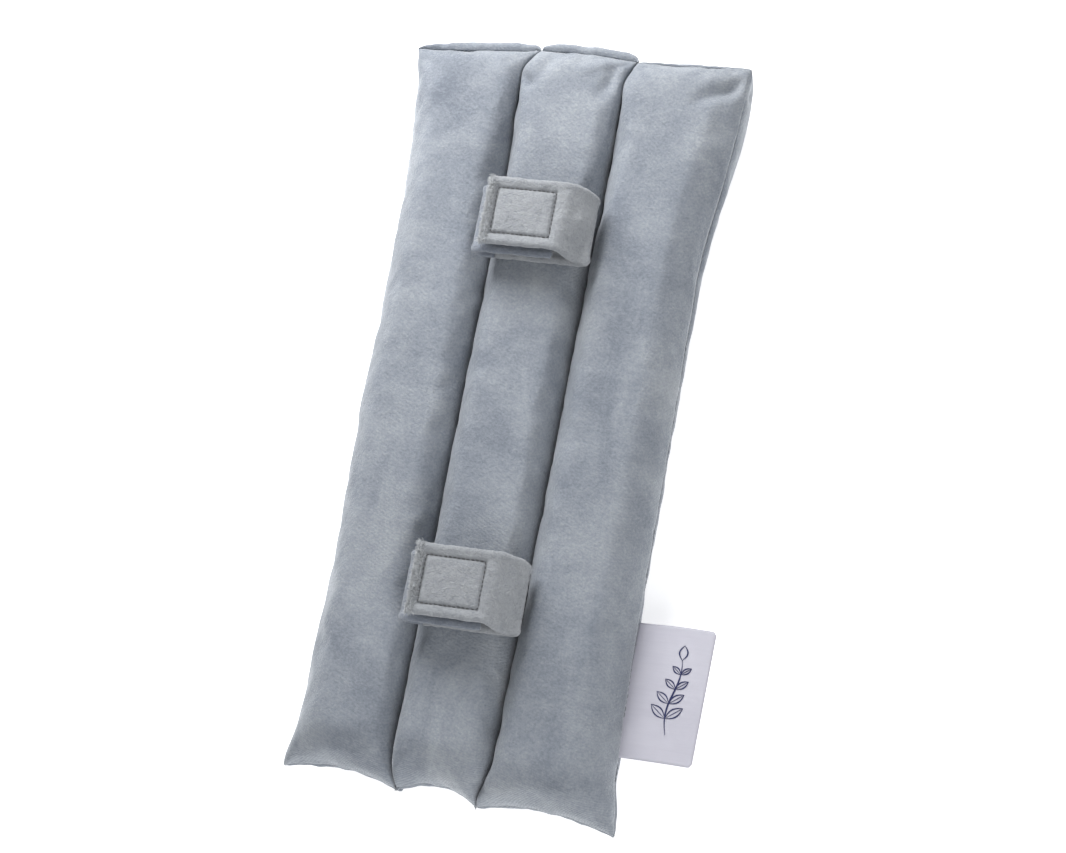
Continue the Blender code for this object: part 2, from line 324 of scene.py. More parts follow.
def mesh_object(name, points, faces, finish, smooth=True):
    mesh = bpy.data.meshes.new(name)
    mesh.from_pydata([tuple(p) for p in points], [], [tuple(f) for f in faces])
    mesh.materials.append(finish)
    if smooth:
        mesh.shade_smooth()
    thing = bpy.data.objects.new(name, mesh)
    bpy.context.scene.collection.objects.link(thing)
    return thing


def grid_faces(index, flip=False):
    """Quads over a grid of vertex numbers, and flipped ones face the other way."""
    corners = [index[:-1, :-1], index[:-1, 1:], index[1:, 1:], index[1:, :-1]]
    if flip:
        corners[1], corners[3] = corners[3], corners[1]
    return np.stack(corners, -1).reshape(-1, 4).tolist()


def ring_faces(rings, count):
    """Quads between successive rings of this many vertices."""
    return [(r * count + i, r * count + (i + 1) % count,
             (r + 1) * count + (i + 1) % count, (r + 1) * count + i)
            for r in range(rings - 1) for i in range(count)]


def coordinates(mesh):
    out = np.empty(len(mesh.vertices) * 3)
    mesh.vertices.foreach_get("co", out)
    return out.reshape(-1, 3)


def normals(mesh):
    out = np.empty(len(mesh.vertices) * 3, np.float32)
    mesh.vertex_normals.foreach_get("vector", out)
    return out.reshape(-1, 3).astype(float)


def set_coordinates(mesh, points):
    mesh.vertices.foreach_set("co", np.ascontiguousarray(points, np.float32).ravel())
    mesh.update()


def apply_modifiers(thing):
    graph = bpy.context.evaluated_depsgraph_get()
    mesh = bpy.data.meshes.new_from_object(
        thing.evaluated_get(graph), preserve_all_data_layers=True, depsgraph=graph)
    thing.modifiers.clear()
    old, thing.data = thing.data, mesh
    bpy.data.meshes.remove(old)


def subdivide(thing, levels):
    modifier = thing.modifiers.new("subdivide", "SUBSURF")
    modifier.levels = modifier.render_levels = levels
    apply_modifiers(thing)


def lumps(points, size, seed):
    """Smooth noise, -1 to 1, with features about this large."""
    shift = Vector((seed * 7.3, seed * 3.1, seed * 5.7))
    return np.array([noise.noise(Vector(p) / size + shift) for p in points])


# ---------------------------------------------------------------- channels
ACROSS = 20  # quads from seam to seam
END_ROWS = 10
MIDDLE_ROWS = 80
END = 25 * MM  # length of the rounded stretch at each end
END_POWER = 2.5
FABRIC = 1.2 * MM
TOUCH = 0.12 * MM  # half of what parts two bulges that press on each other
PRESSED = 3  # a side whose power is above this presses on the next channel
REST = 0.3 * MM  # how far above the ground the rear lies

CLOTH_FRAMES = 25
PRESSURE = 4
STIFFNESS = 5
SWELL_LIMIT = 4.5 * MM

FILL_GAP = 0.5 * MM
FILL_SHORT_FROM = 142 * MM  # beyond this y the stuffing draws in from the corners
FILL_SHORT_OVER = 16 * MM


def seam_line(side, t):
    """Where a channel seam runs, at t from -1 (near end) to 1 (far end)."""
    if side == "left":
        return LEFT_HINGE + (-0.4 + 7.0 * ease(0.91, 1.0, t) + 2.0 * ease(-0.92, -1.0, t)) * MM
    bend = 1.3 * ease(0.5, 0.9, t) + 5.0 * ease(0.90, 1.0, t) - 6.0 * ease(-0.88, -1.0, t)
    return RIGHT_HINGE + (-0.5 + 1.2 * t + bend) * MM


def edge_line(side, t):
    """Where a side seam runs: it draws in halfway along and flares to pinched corners."""
    if side == "left":
        dip = 2.1 * ease(0.0, -0.45, t) * (1 - ease(-0.75, -0.95, t))
        return -SIDE_X + (3.0 - 2.3 * t**2 - 2.6 * ease(0.86, 1.0, abs(t)) + dip) * MM
    flare = 8.6 * ease(0.40, 0.95, t) + 1.0 * ease(-0.5, -0.85, t) + 2.1 * ease(-0.86, -1.0, t)
    return SIDE_X + (flare - 6.3) * MM


# Each channel's sides, how square its bulge is on each side, and at its ends: y at both
# corners and how far the middle stands out (far) or draws in (near), all in mm
CHANNELS = {
    "left": {"sides": (lambda t: edge_line("left", t), lambda t: seam_line("left", t)),
             "powers": (2.2, 4.2), "far": (155.5, 159.2, -0.4), "near": (-155.4, -158.6, 3.5),
             "roll": 1.0, "side_roll": 0.0, "seed": 1},
    "centre": {"sides": (lambda t: seam_line("left", t), lambda t: seam_line("right", t)),
               "powers": (4.2, 4.2), "far": (159.2, 157.8, 0.9), "near": (-158.6, -160.7, 4.8),
               "roll": 1.0, "side_roll": 0.0, "seed": 2},
    "right": {"sides": (lambda t: seam_line("right", t), lambda t: edge_line("right", t)),
              "powers": (4.2, 2.2), "far": (157.8, 159.4, -0.5), "near": (-160.7, -164.3, 3.5),
              "roll": 0.35, "side_roll": 2.4, "seed": 3},
}
FAR_SEAM_Z = 33 * MM
NEAR_SEAM_Z = 15 * MM
# The rear panel rolls forward past the far seam: mm beyond the seam, and height
FAR_ROLL = ((0, 33), (0.9, 35.0), (3.0, 35.4), (5.0, 32.5), (6.2, 25), (6.4, 16), (4.6, 7.5),
            (-1, 2.0), (-9, 0.3), (-25, 0))


def across_profile(powers):
    """Steps of (share across, share of the height) over a bulge, seam to seam."""
    angle = np.linspace(0, math.pi, 721)
    power = np.where(angle < math.pi / 2, *powers)
    cos, sin = np.cos(angle), np.abs(np.sin(angle))
    curve = np.column_stack([-np.sign(cos) * np.abs(cos) ** (2 / power), sin ** (2 / power)])
    return evenly(curve, ACROSS)


def along_profile():
    """Steps of (share along, share of the height) from the near end to the far one."""
    angle = np.linspace(0, math.pi / 2, 181)
    cos, sin = np.cos(angle), np.sin(angle)
    curve = np.column_stack([1 - cos ** (2 / END_POWER), sin ** (2 / END_POWER)])
    end = evenly(curve, END_ROWS)
    share = END / (2 * HALF_LENGTH)
    middle = np.linspace(share, 1 - share, MIDDLE_ROWS + 1)[1:-1]
    rows = [(d * share, h) for d, h in end]
    rows += [(m, 1.0) for m in middle]
    rows += [(1 - d * share, h) for d, h in end[::-1]]
    return np.array(rows)


def end_line(made, end, c):
    """y of a channel's end seam at c from -1 to 1 across it."""
    a, b, arch = made[end]
    return (a + (b - a) * (c + 1) / 2 + arch * (1 - c**2)) * MM


def channel_points(made):
    """Front and rear grids of one channel, which share their outline."""
    rows, cols = along_profile(), across_profile(made["powers"])
    share, high = rows[:, :1], rows[:, 1:]
    c, wide = cols[:, 0][None, :], cols[:, 1][None, :]
    near, far = end_line(made, "near", c), end_line(made, "far", c)
    y = near + (far - near) * share
    t = y / HALF_LENGTH
    left, right = made["sides"][0](t), made["sides"][1](t)
    x = (left + right) / 2 + (right - left) / 2 * c
    at_far, at_near = ease(0.80, 1.0, share), ease(0.16, 0.0, share)
    seam = SEAM_Z + (FAR_SEAM_Z - SEAM_Z) * at_far + (NEAR_SEAM_Z - SEAM_Z) * at_near
    if made["side_roll"]:
        rise = 4.0 * ease(0.45, 0.90, share) - 2.0 * ease(0.5, 0.1, share)
        seam = seam + rise * MM * ease(0, 1, c) * (1 - at_far)
    seam = np.broadcast_to(seam, x.shape)
    front = np.stack([x, y, seam + (TOP - seam) * wide * high], -1)
    y_full, z_full = np.broadcast_to(y, x.shape).copy(), seam * (1 - high)
    roll = evenly(chaikin(FAR_ROLL, 2), END_ROWS)[::-1] * MM
    beyond = np.where(roll[:, 0] > 0, roll[:, 0] * made["roll"], roll[:, 0])
    y_full[-END_ROWS - 1:] = far + beyond[:, None]
    z_full[-END_ROWS - 1:] = roll[:, 1:]
    out = made["side_roll"] * MM * np.sin(math.pi * np.clip(wide * high, 0, 1) ** 1.2)
    out = out * ease(0.45, 0.8, share) * (c > 0)
    rear = np.stack([x + out, y + (y_full - y) * wide, seam + (z_full - seam) * wide], -1)
    return front, rear


def channel_mesh(name, made):
    """One closed skin: front faces have material 0 and rear faces 1."""
    front, rear = channel_points(made)
    count_rows, count_cols = front.shape[:2]
    points = [tuple(p) for p in front.reshape(-1, 3)]
    index = np.arange(count_rows * count_cols).reshape(count_rows, count_cols)
    below = index.copy()
    for i in range(1, count_rows - 1):
        for j in range(1, count_cols - 1):
            below[i, j] = len(points)
            points.append(tuple(rear[i, j]))
    faces = grid_faces(index)
    side = np.repeat(np.array((0, 1), np.int32), len(faces))
    faces += grid_faces(below, flip=True)
    thing = mesh_object(name, points, faces, PLUSH)
    thing.data.materials.append(PLUSH)
    thing.data.polygons.foreach_set("material_index", side)
    border = sorted(set(index[0]) | set(index[-1]) | set(index[:, 0]) | set(index[:, -1]))
    group = thing.vertex_groups.new(name="seam")
    group.add([int(v) for v in border], 1.0, "REPLACE")
    return thing


def inflate(thing):
    """Lets the stuffing press the skin out, with its seams held where they are."""
    before = coordinates(thing.data)
    cloth = thing.modifiers.new("cloth", "CLOTH")
    s = cloth.settings
    s.quality = 5
    s.mass = 0.001
    s.tension_stiffness = s.compression_stiffness = STIFFNESS
    s.shear_stiffness = STIFFNESS / 3
    s.bending_stiffness = 0.1
    s.tension_damping = s.compression_damping = 5
    s.air_damping = 1
    s.use_pressure = True
    s.uniform_pressure_force = PRESSURE
    s.vertex_group_mass = "seam"
    s.pin_stiffness = 1
    s.shrink_min = s.shrink_max = -0.008
    s.effector_weights.gravity = 0
    cloth.point_cache.frame_start, cloth.point_cache.frame_end = 1, CLOTH_FRAMES
    cloth.collision_settings.use_collision = False
    for step in range(1, CLOTH_FRAMES + 1):
        bpy.context.scene.frame_set(step)
    graph = bpy.context.evaluated_depsgraph_get()
    after = coordinates(thing.evaluated_get(graph).to_mesh())
    bpy.context.scene.frame_set(1)
    thing.modifiers.clear()
    move = after - before
    size = np.linalg.norm(move, axis=1, keepdims=True)
    move *= np.minimum(1, SWELL_LIMIT / np.maximum(size, 1e-9))
    set_coordinates(thing.data, before + move)


def soft_floor(z, low, blend):
    """z kept above low, easing onto it."""
    d = z - low
    return low + blend * np.logaddexp(0, d / blend)


def press(points, made):
    """Presses a channel flat on its rear and against its neighbours."""
    t = points[:, 1] / HALF_LENGTH
    left, right = (side(t) for side in made["sides"])
    if made["powers"][0] > PRESSED:
        points[:, 0] = np.maximum(points[:, 0], left + TOUCH)
    if made["powers"][1] > PRESSED:
        points[:, 0] = np.minimum(points[:, 0], right - TOUCH)
    z = soft_floor(points[:, 2], REST, 0.4 * MM)
    points[:, 2] = TOP - soft_floor(TOP - z, 0.1 * MM, 0.35 * MM)
    return points


# Dimples: from x, y to x, y, then depth and width, all in mm
FOLDS = (
    (73, 152, 54, 141, 5.2, 3.4), (69, 160, 61, 151, 1.4, 2.8), (64, 134, 50, 138, 0.8, 4.0),
    (17, 150, 12, 139, 2.6, 3.2), (20, 156, 8, 149, 1.5, 2.6), (25, 153, 31, 145, 1.0, 3.4),
    (-20, 143, -29, 151, 3.0, 2.8), (-30, 156, -38, 148, 0.9, 3.4), (-12, 153, -17, 141, 1.5, 3.0),
    (-67, 150, -58, 143, 1.3, 3.2),
    (62, -158, 55, -147, 1.4, 3.6), (-62, -150, -54, -145, 1.4, 3.4),
    (-30, -153, -38, -143, 1.0, 3.6), (14, -155, 6, -146, 1.2, 3.5),
    (-17, -154, -10, -146, 1.0, 3.2), (21, -154, 30, -145, 1.1, 3.6),
    (14, 60, 4, 54, 0.5, 5.0), (-21, 118, -26, 100, 0.5, 5.0), (22, 20, 30, 14, 0.4, 5.0),
)


def crease(points, amount):
    """Depth of the folded-in dimples at each point of the front."""
    total = np.zeros(len(points))
    for x0, y0, x1, y1, depth, width in FOLDS:
        a, b = np.array((x0, y0)) * MM, np.array((x1, y1)) * MM
        along = b - a
        s = np.clip((points[:, :2] - a) @ along / (along @ along), 0, 1)
        d = np.linalg.norm(points[:, :2] - a - s[:, None] * along, axis=1)
        total += depth * MM * np.exp(-((d / (width * MM)) ** 2)) * (1 - 0.7 * s)
    return total * amount


def dress(thing, made):
    """Lumps, puckers, folds and the seam groove on the subdivided skin."""
    mesh = thing.data
    points, out = coordinates(mesh), normals(mesh)
    group = thing.vertex_groups["seam"].index
    weight = np.zeros(len(points))
    for v in mesh.vertices:
        for g in v.groups:
            if g.group == group:
                weight[v.index] = g.weight
    seed = made["seed"]
    tree = kdtree.KDTree(int((weight > 0.999).sum()))
    for i in np.flatnonzero(weight > 0.999):
        tree.insert(points[i], int(i))
    tree.balance()
    near = np.array([tree.find(p)[2] for p in points])
    free = ease(0.5 * MM, 9 * MM, near)
    top = ease(-0.2, 0.5, out[:, 2])
    flat = 1 - ease(-0.4, -0.95, out[:, 2]) * (points[:, 2] < 3 * MM)
    swell = 0.55 * MM * lumps(points, 0.034, seed) + 0.22 * MM * lumps(points, 0.012, seed + 5)
    end = np.minimum(HALF_LENGTH - points[:, 1], points[:, 1] + HALF_LENGTH)
    ripple = lumps(points * (1, 0.22, 0.3), 0.0045, seed + 9) * np.exp(-near / (7 * MM))
    ripple *= 0.75 * MM * ease(30 * MM, 6 * MM, end) + 0.18 * MM
    move = (swell * free + ripple * ease(0.3 * MM, 2.5 * MM, near)) * flat
    move -= crease(points, top) * free
    at_far = ease(0.93, 0.96, points[:, 1] / HALF_LENGTH)
    move -= (1.1 + 0.7 * at_far) * MM * weight**1.5
    points = points + out * move[:, None]
    set_coordinates(mesh, press(points, made))
    return near


def panel_shell(name, skin, side, near):
    """The front or rear fabric: the skin's faces on that side, with a thickness that
    runs out at the seam."""
    mesh = skin.data
    points, out = coordinates(mesh), normals(mesh)
    loops = np.empty(len(mesh.loops), np.int32)
    mesh.loops.foreach_get("vertex_index", loops)
    index = np.empty(len(mesh.polygons), np.int32)
    mesh.polygons.foreach_get("material_index", index)
    quads = loops.reshape(-1, 4)[index == side]
    used, quads = np.unique(quads, return_inverse=True)
    quads = quads.reshape(-1, 4)
    edges = np.sort(np.concatenate([quads[:, [k, (k + 1) % 4]] for k in range(4)]), axis=1)
    keys, times = np.unique(edges, axis=0, return_counts=True)
    rim = np.unique(keys[times == 1])
    inner = np.full(len(used), -1)
    free = np.setdiff1d(np.arange(len(used)), rim)
    inner[rim] = rim
    inner[free] = len(used) + np.arange(len(free))
    depth = np.minimum(FABRIC, 0.4 * near[used])
    lining = points[used] - out[used] * depth[:, None]
    every = np.concatenate([points[used], lining[free]])
    faces = np.concatenate([quads, inner[quads][:, ::-1]])
    return mesh_object(name, every, faces.tolist(), PLUSH)


def fill_mesh(name, skin, near):
    """The stuffing, just inside the two panels and short of their corners."""
    mesh = skin.data.copy()
    points, out = coordinates(mesh), normals(mesh)
    depth = np.minimum(FABRIC + FILL_GAP, 0.55 * near)
    thing = bpy.data.objects.new(name, mesh)
    bpy.context.scene.collection.objects.link(thing)
    points -= out * depth[:, None]
    middle = points[:, 0].mean()
    corner = np.clip((np.abs(points[:, 1]) - FILL_SHORT_FROM) / FILL_SHORT_OVER, 0, 1)
    points[:, 1] -= np.sign(points[:, 1]) * corner * 2.2 * MM
    points[:, 0] -= np.clip(points[:, 0] - middle, -MM, MM) * corner
    set_coordinates(mesh, points)
    mesh.materials.clear()
    mesh.materials.append(FIBRE)
    mesh.polygons.foreach_set("material_index", np.zeros(len(mesh.polygons), np.int32))
    return thing


def attach(thing, channel):
    """Rides on the root body for the centre channel; a side channel's piece keeps its place, with
    its transform applied.
    """
    if channel == "centre":
        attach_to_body(thing, "root")
        return
    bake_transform(thing)


def make_channel(channel):
    """Both panels and the stuffing of one channel, all cut from one swelled skin."""
    made = CHANNELS[channel]
    skin = channel_mesh(channel + "_skin", made)
    inflate(skin)
    set_coordinates(skin.data, press(coordinates(skin.data), made))
    subdivide(skin, 2)
    near = dress(skin, made)
    for side, word in enumerate(("front", "rear")):
        name = f"{channel}_{word}_panel"
        shell = panel_shell(name + "_plush", skin, side, near)
        attach(shell, channel)
        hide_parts(name)
    fill = fill_mesh(channel + "_stuffing", skin, near)
    attach(fill, channel)
    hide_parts(channel + "_fill")
    bpy.data.objects.remove(skin)


for channel in CHANNELS:
    make_channel(channel)


# ---------------------------------------------------------------- threads
def tube(points, radius, sides=6):
    """Rings of a round tube along points, tapered shut at both ends."""
    points = np.asarray(points, float)
    way = np.gradient(points, axis=0)
    way /= np.linalg.norm(way, axis=1, keepdims=True)
    guide = np.array((0.0, 0.0, 1.0) if abs(way[0][2]) < 0.8 else (1.0, 0.0, 0.0))
    verts = []
    scale = np.ones(len(points))
    scale[0] = scale[-1] = 0.45
    for p, w, k in zip(points, way, scale):
        side = np.cross(w, guide)
        side /= np.linalg.norm(side)
        up = np.cross(side, w)
        for i in range(sides):
            a = 2 * math.pi * i / sides
            verts.append(p + radius * k * (math.cos(a) * side + math.sin(a) * up))
    faces = ring_faces(len(points), sides)
    faces.append(tuple(reversed(range(sides))))
    faces.append(tuple(range((len(points) - 1) * sides, len(points) * sides)))
    return verts, faces


def join(parts):
    verts, faces = [], []
    for v, f in parts:
        base = len(verts)
        verts += list(v)
        faces += [tuple(base + i for i in face) for face in f]
    return verts, faces


def stitches(name, path, finish, seed, pitch=2.6 * MM, gap=0.5 * MM, radius=0.28 * MM,
             dip=0.35 * MM, outward=(0, 0, 1)):
    """A row of short threads along the path, each dipping into the cloth at its ends."""
    steps = 10
    length = np.linalg.norm(np.diff(path, axis=0), axis=1).sum()
    count = max(1, round(length / pitch))
    fine = evenly(path, count * steps)
    draw = random.Random(seed)
    outward = np.asarray(outward, float)
    parts = []
    keep = round(steps * (1 - gap / pitch))
    for k in range(count):
        run = fine[k * steps:k * steps + keep + 1].copy()
        arch = np.sin(np.linspace(0, math.pi, len(run))) ** 0.6
        run += outward * ((arch - 1) * dip)[:, None]
        run += np.array([draw.uniform(-0.12, 0.12) * MM for _ in range(3)])
        parts.append(tube(run, radius * draw.uniform(0.88, 1.12)))
    return mesh_object(name, *join(parts), finish)


# ---------------------------------------------------------------- straps
WEAVE_STEP = 0.8 * MM  # size of a ribbon's quads
SPLIT_X = -18.0 * MM  # where the outer strap's base ends and the inner strap's begins
CREST_X = 11 * MM  # where the outer flap starts to slope down to its fold
TAPE_GRID = (26, 24)
HOOK_GRID = (17, 16)
CUT_EDGE_HAIRS = 2000


def ribbon(name, path, low, high, thick, finish):
    """A thick strip of cloth along a path in XZ, with rounded edges and ends."""
    path = chaikin(path, 3)
    length = np.linalg.norm(np.diff(path, axis=0), axis=1).sum()
    line = evenly(path, round(length / WEAVE_STEP))
    way = np.gradient(line, axis=0)
    way /= np.linalg.norm(way, axis=1, keepdims=True)
    out = np.column_stack([-way[:, 1], way[:, 0]])
    r = thick / 2
    turns = np.linspace(0.12, 0.5, 5)[:-1] * math.pi
    flat = np.linspace(-1, 1, round((high - low - thick) / WEAVE_STEP) + 1)
    middle, half = (low + high) / 2, (high - low) / 2 - r
    top = [(middle - half - r * math.cos(a), r * math.sin(a)) for a in turns]
    top += [(middle + half * f, r) for f in flat]
    top += [(middle + half + r * math.cos(a), r * math.sin(a)) for a in turns[::-1]]
    loop = np.array(top + [(y, -n) for y, n in top[::-1]])
    count = len(loop)
    closing = ((0.95, 0.30), (0.62, 0.78))
    rings = [(line[0] - way[0] * r * reach, out[0], share) for reach, share in closing]
    rings += [(p, o, 1.0) for p, o in zip(line, out)]
    rings += [(line[-1] + way[-1] * r * reach, out[-1], share)
              for reach, share in closing[::-1]]
    verts = [(p[0] + o[0] * n * share, y, p[1] + o[1] * n * share)
             for p, o, share in rings for y, n in loop]
    faces = ring_faces(len(rings), count)
    last = (len(rings) - 1) * count
    for k in range(count // 2 - 1):
        m = count - 1 - k
        faces.append((k, m, m - 1, k + 1))
        faces.append((last + k, last + k + 1, last + m - 1, last + m))
    thing = mesh_object(name, verts, faces, finish)
    shape = bmesh.new()
    shape.from_mesh(thing.data)
    bmesh.ops.recalc_face_normals(shape, faces=shape.faces)
    if shape.calc_volume(signed=True) < 0:
        bmesh.ops.reverse_faces(shape, faces=shape.faces)
    shape.to_mesh(thing.data)
    shape.free()
    subdivide(thing, 1)
    return thing, length


def box_distance(points, low, high):
    """How far each point is from the outline of a rectangle in XY."""
    middle = (np.array(low) + np.array(high)) / 2
    half = (np.array(high) - np.array(low)) / 2
    d = np.abs(points[:, :2] - middle) - half
    outside = np.linalg.norm(np.maximum(d, 0), axis=1)
    inside = np.minimum(np.maximum(d[:, 0], d[:, 1]), 0)
    return outside + inside


def rough_up(thing, seed, box=None, over=0.0):
    """Pile lumps, a thick hem along both long edges, and the groove of a box stitch.

    The groove is only in what faces up, higher than over.
    """
    mesh = thing.data
    points, out = coordinates(mesh), normals(mesh)
    low, high = points[:, 1].min(), points[:, 1].max()
    edge = np.minimum(points[:, 1] - low, high - points[:, 1])
    move = 0.22 * MM * lumps(points, 0.0024, seed) + 0.25 * MM * lumps(points, 0.008, seed + 2)
    move += 0.12 * MM * lumps(points, 0.0011, seed + 4)
    move += 0.40 * MM * np.exp(-((edge - 1.8 * MM) / (1.2 * MM)) ** 2)
    if box is not None:
        d = box_distance(points, *box)
        on_top = (out[:, 2] > 0.3) & (points[:, 2] > over)
        groove = 0.95 * MM * np.exp(-(d / (0.60 * MM)) ** 2)
        groove += 0.35 * MM * np.exp(-(d / (2.0 * MM)) ** 2)
        cut = box[0][0] - 1.5 * MM - points[:, 0]
        rag = 0.40 * MM * lumps(points, 0.0018, seed + 7) + 0.25 * MM
        move += on_top * (rag * ease(-0.6 * MM, 0.6 * MM, cut) - groove)
    set_coordinates(mesh, points + out * move[:, None])


def fuzz(name, place, count, spread, length, lean, seed, finish):
    """Short curved fibres: place(draw) gives a root and an outward direction."""
    draw = random.Random(seed)
    parts = []
    for _ in range(count):
        root, way = place(draw)
        root, way = np.array(root), np.array(way, float)
        way += np.array([draw.gauss(0, spread) for _ in range(3)])
        way /= np.linalg.norm(way)
        long = length * draw.uniform(0.5, 1.2)
        bend = np.array([draw.gauss(0, lean) for _ in range(3)])
        run = [root + way * long * s + bend * long * s * s for s in (0, 0.35, 0.7, 1.0)]
        parts.append(tube(run, draw.uniform(0.07, 0.12) * MM, 3))
    return mesh_object(name, *join(parts), finish)


def rectangle(low, high, z):
    """A closed path round a rectangle with slightly rounded corners."""
    radius = 1.2 * MM
    signs = ((1, 1), (-1, 1), (-1, -1), (1, -1))
    out = []
    for quarter, (sx, sy) in enumerate(signs):
        mx = (high if sx > 0 else low)[0] - radius * sx
        my = (high if sy > 0 else low)[1] - radius * sy
        for k in range(5):
            a = math.pi / 2 * (quarter + k / 4)
            out.append((mx + radius * math.cos(a), my + radius * math.sin(a), z))
    return np.array(out + out[:1])


def hook_height(s, curl):
    """How high a hook or loop stands at s, from 0 at its root to curl at its tip."""
    if curl == 1:
        return 0.42 * MM * math.sin(math.pi * s)
    bent = 0.55
    return 0.40 * MM * math.sin(math.pi * min(s, bent)) - 0.12 * MM * max(0, s - bent)


def hooks(low, high, z, way, curl, seed):
    """Fine hooks (curl below 1) or soft loops (curl 1) over the face of a tape."""
    draw = random.Random(seed)
    parts = []
    nx, ny = HOOK_GRID
    for i in range(nx):
        for j in range(ny):
            x = low[0] + (high[0] - low[0]) * (i + 0.5 + draw.uniform(-0.2, 0.2)) / nx
            y = low[1] + (high[1] - low[1]) * (j + 0.5 + draw.uniform(-0.2, 0.2)) / ny
            turn = draw.uniform(0, 2 * math.pi) if curl == 1 else (0.0 if j % 2 else math.pi)
            run = []
            for s in np.linspace(0, curl, 6):
                across = 0.32 * MM * (1 - math.cos(math.pi * s))
                run.append((x + across * math.cos(turn), y + across * math.sin(turn),
                            z + way * hook_height(s, curl)))
            parts.append(tube(run, 0.07 * MM, 3))
    return parts


def tape(name, node, way, finish, curl, body, seed):
    """A hook or loop patch: a slightly quilted woven slab with its pile.

    way is 1 where the pile faces up and -1 where it faces down.
    """
    low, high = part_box(node)
    nx, ny = TAPE_GRID
    points = []
    face_z = (low.z + high.z) / 2 + way * 0.10 * MM
    back_z = high.z - 0.05 * MM if way < 0 else low.z + 0.05 * MM
    for z, which in ((face_z, 0), (back_z, 1)):
        for i in range(nx + 1):
            for j in range(ny + 1):
                x = low.x + (high.x - low.x) * i / nx
                y = low.y + (high.y - low.y) * j / ny
                weave = 0.05 * MM * math.sin(i * 2.1) * math.sin(j * 1.9)
                points.append((x, y, z + (weave if which == 0 else 0)))

    front, back = np.arange(len(points)).reshape(2, nx + 1, ny + 1)
    faces = grid_faces(front, flip=True) + grid_faces(back)
    for a, b, flip in ((front[:, 0], back[:, 0], True), (front[:, -1], back[:, -1], False),
                       (front[0], back[0], False), (front[-1], back[-1], True)):
        faces += grid_faces(np.stack([a, b]), flip)
    if way < 0:
        faces = [f[::-1] for f in faces]
    parts = [(points, faces)] + hooks(low, high, face_z, way, curl, seed)
    thing = mesh_object(name, *join(parts), finish)
    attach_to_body(thing, body)
    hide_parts(node)


def sewn_box(name, node, z, body, seed, outward=(0, 0, 1), shift=0.0):
    """The box stitch of a patch, in the place of its CAD thread. Returns its corners."""
    low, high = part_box(node)
    inset = 1.1 * MM
    box = ((low.x + 0.3 * MM, low.y + inset + shift),
           (high.x + 1.0 * MM, high.y - inset + shift))
    sewn = stitches(name, rectangle(*box, z), DARK_THREAD, seed, pitch=1.9 * MM,
                    gap=0.55 * MM, radius=0.19 * MM, dip=0.3 * MM, outward=outward)
    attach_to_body(sewn, body)
    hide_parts(node)
    return box


def skew(thing, amount):
    """Shifts a strap's flap along the pillow from its base."""
    points = coordinates(thing.data)
    points[:, 1] += amount * ease(44 * MM, 51 * MM, points[:, 2])
    set_coordinates(thing.data, points)


def droop(thing, y_near, y_far, start):
    """Lets the strap's slope sag at its near corner and dents its middle."""
    points = coordinates(thing.data)
    x, y, z = points.T
    off = ease(start, start + 8 * MM, x) * ease(44.5 * MM, 50 * MM, z)
    near = ease(y_near + 0.62 * (y_far - y_near), y_near, y)
    dent_x, dent_y = start + 5.5 * MM, y_far - 11 * MM
    dent = np.exp(-((x - dent_x) / (3.0 * MM)) ** 2 - ((y - dent_y) / (6 * MM)) ** 2)
    points[:, 2] -= off * (3.0 * near + 1.3 * dent) * MM
    points[:, 0] -= off * 1.8 * near * MM
    points[:, 1] -= off * 1.2 * near * MM
    set_coordinates(thing.data, points)


